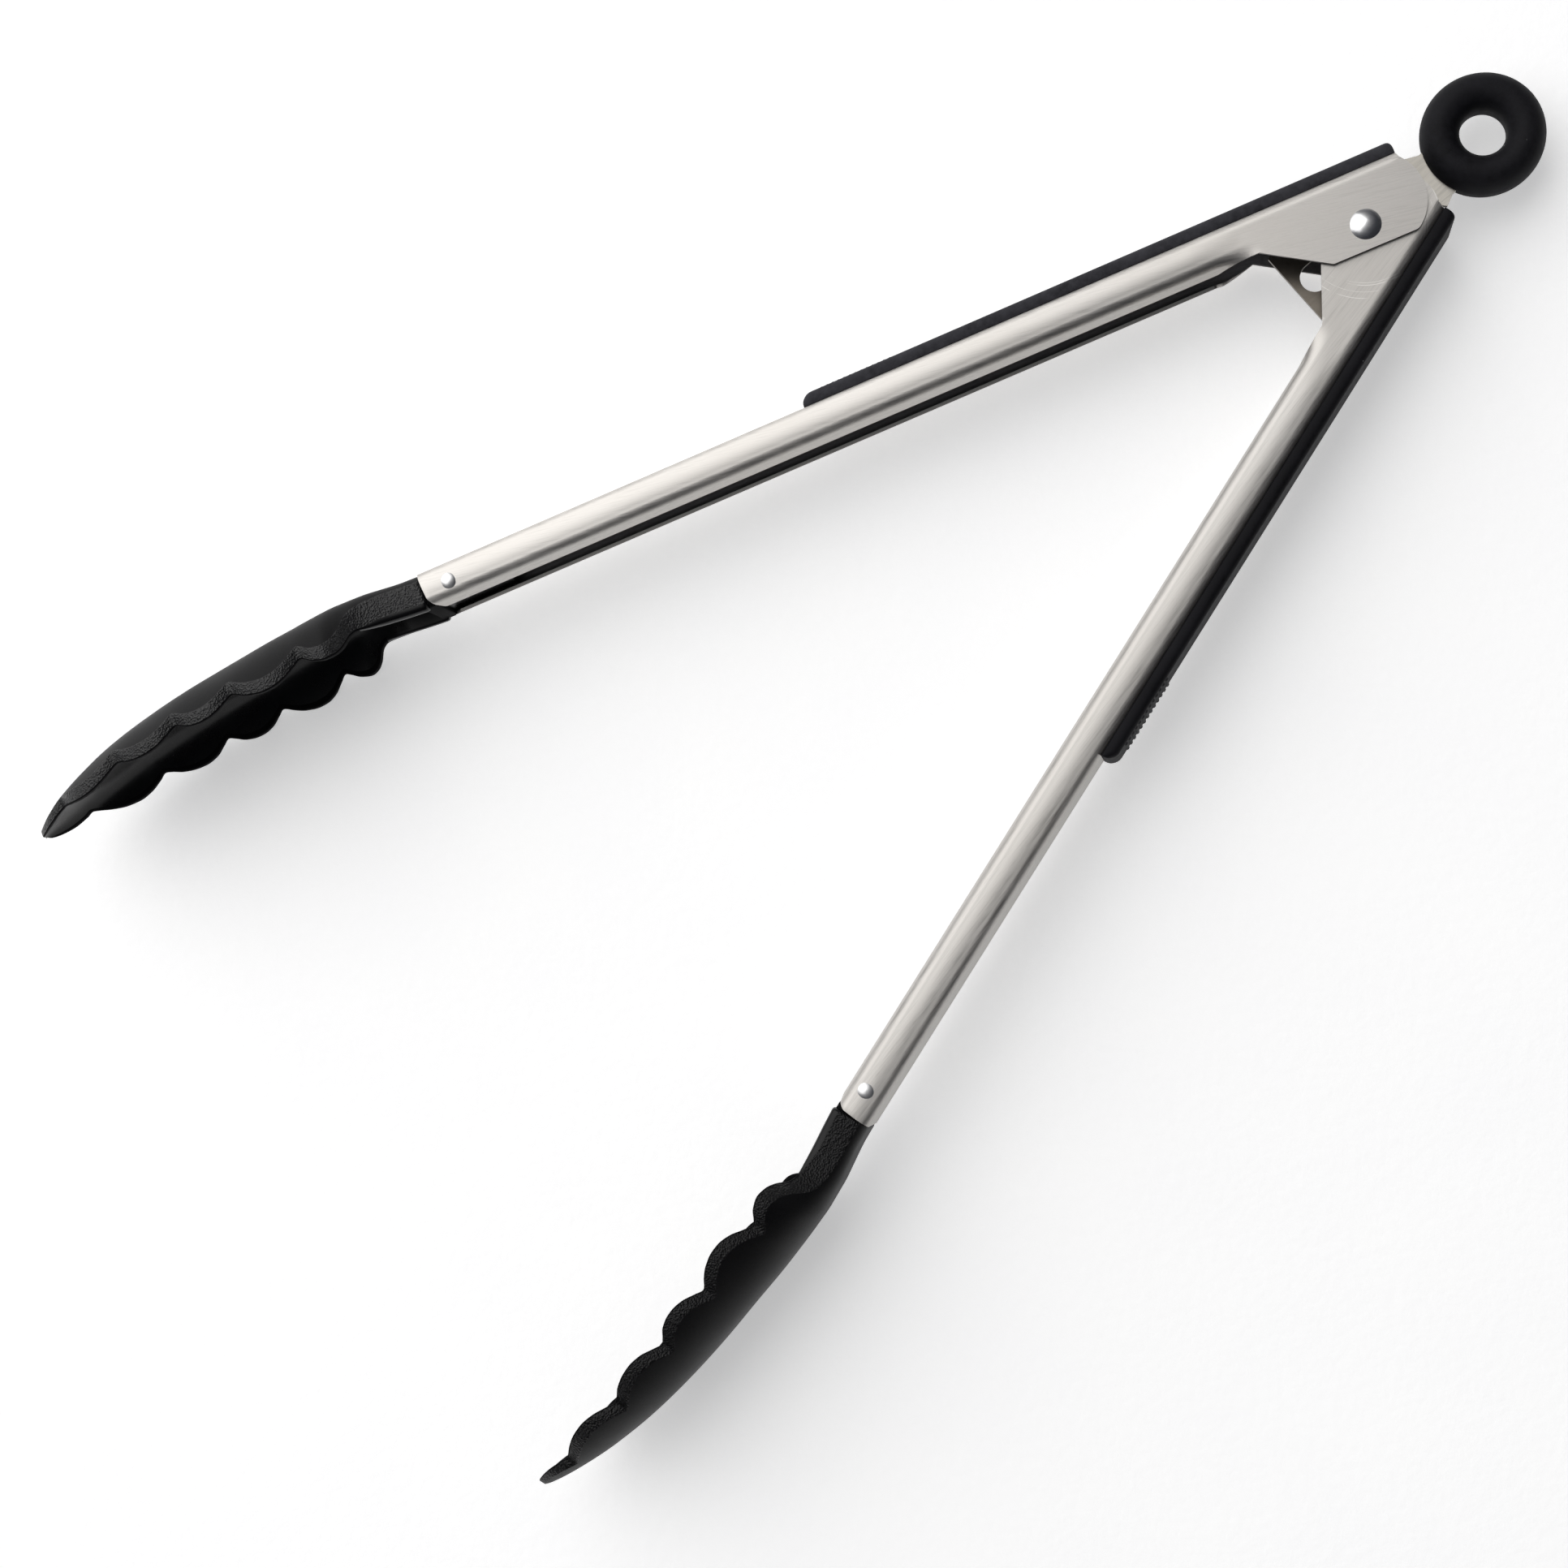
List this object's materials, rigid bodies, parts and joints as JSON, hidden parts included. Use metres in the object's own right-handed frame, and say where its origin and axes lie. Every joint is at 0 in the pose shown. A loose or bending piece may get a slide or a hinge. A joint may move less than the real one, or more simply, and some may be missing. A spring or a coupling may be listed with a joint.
{
  "type": "spring loaded kitchen tongs",
  "caption": "Spring loaded locking kitchen tongs with lipped steel channel arms, scalloped nylon scoop heads, soft grip pads and a pull ring on a sliding lock plate.",
  "frame": {"origin": "centre of the bounding box's underside, the tongs lying on their side with the pivot axis upright", "axes": "+X from the pivot along the bisector towards the heads, +Y towards the inner arm, +Z along the pivot axis, up"},
  "size_m": [0.3362, 0.182, 0.0361],
  "materials": {
    "brushed_steel": "brushed along each arm",
    "polished_steel": "polished",
    "bush_steel": "turned",
    "spring_steel": "drawn wire",
    "plate_steel": "brushed",
    "soft_rubber": "matte, soft-touch",
    "grip_rubber": "matte, soft-touch",
    "nylon": "satin, coarse texture on the rims",
    "rivet_steel": "satin"
  },
  "bodies": {
    "outer_arm_body": {"outer_arm": "brushed_steel", "outer_grip": "grip_rubber", "outer_head": "nylon", "outer_head_rivet": "rivet_steel", "pivot_rivet": "polished_steel"},
    "inner_arm_body": {"inner_arm": "brushed_steel", "inner_grip": "grip_rubber", "inner_head": "nylon", "inner_head_rivet": "rivet_steel"},
    "carrier": {"pivot_sleeve": "bush_steel", "torsion_spring": "spring_steel"},
    "lock_tab": {"lock_plate": "plate_steel", "hanging_ring": "soft_rubber"}
  },
  "joints": [
    {"name": "squeeze", "type": "hinge", "parent": "outer_arm_body", "child": "inner_arm_body", "pos_m": [-0.1245, 0, 0.01806], "axis": [0, 0, -1], "range_deg": [0, 32.5], "stiffness_Nm_per_rad": 0.8, "springref_deg": -20.05, "deforming": ["torsion_spring"]},
    {"name": "carrier_turn", "type": "hinge", "parent": "outer_arm_body", "child": "carrier", "pos_m": [-0.1245, 0, 0.01806], "axis": [0, 0, -1], "range_deg": [0, 16.25]},
    {"name": "lock_slide", "type": "slide", "parent": "carrier", "child": "lock_tab", "axis": [-1, 0, 0], "range_m": [0, 0.0125]}
  ],
  "couplings": [
    {"joint": "carrier_turn", "follows": "squeeze", "ratio": 0.5}
  ]
}
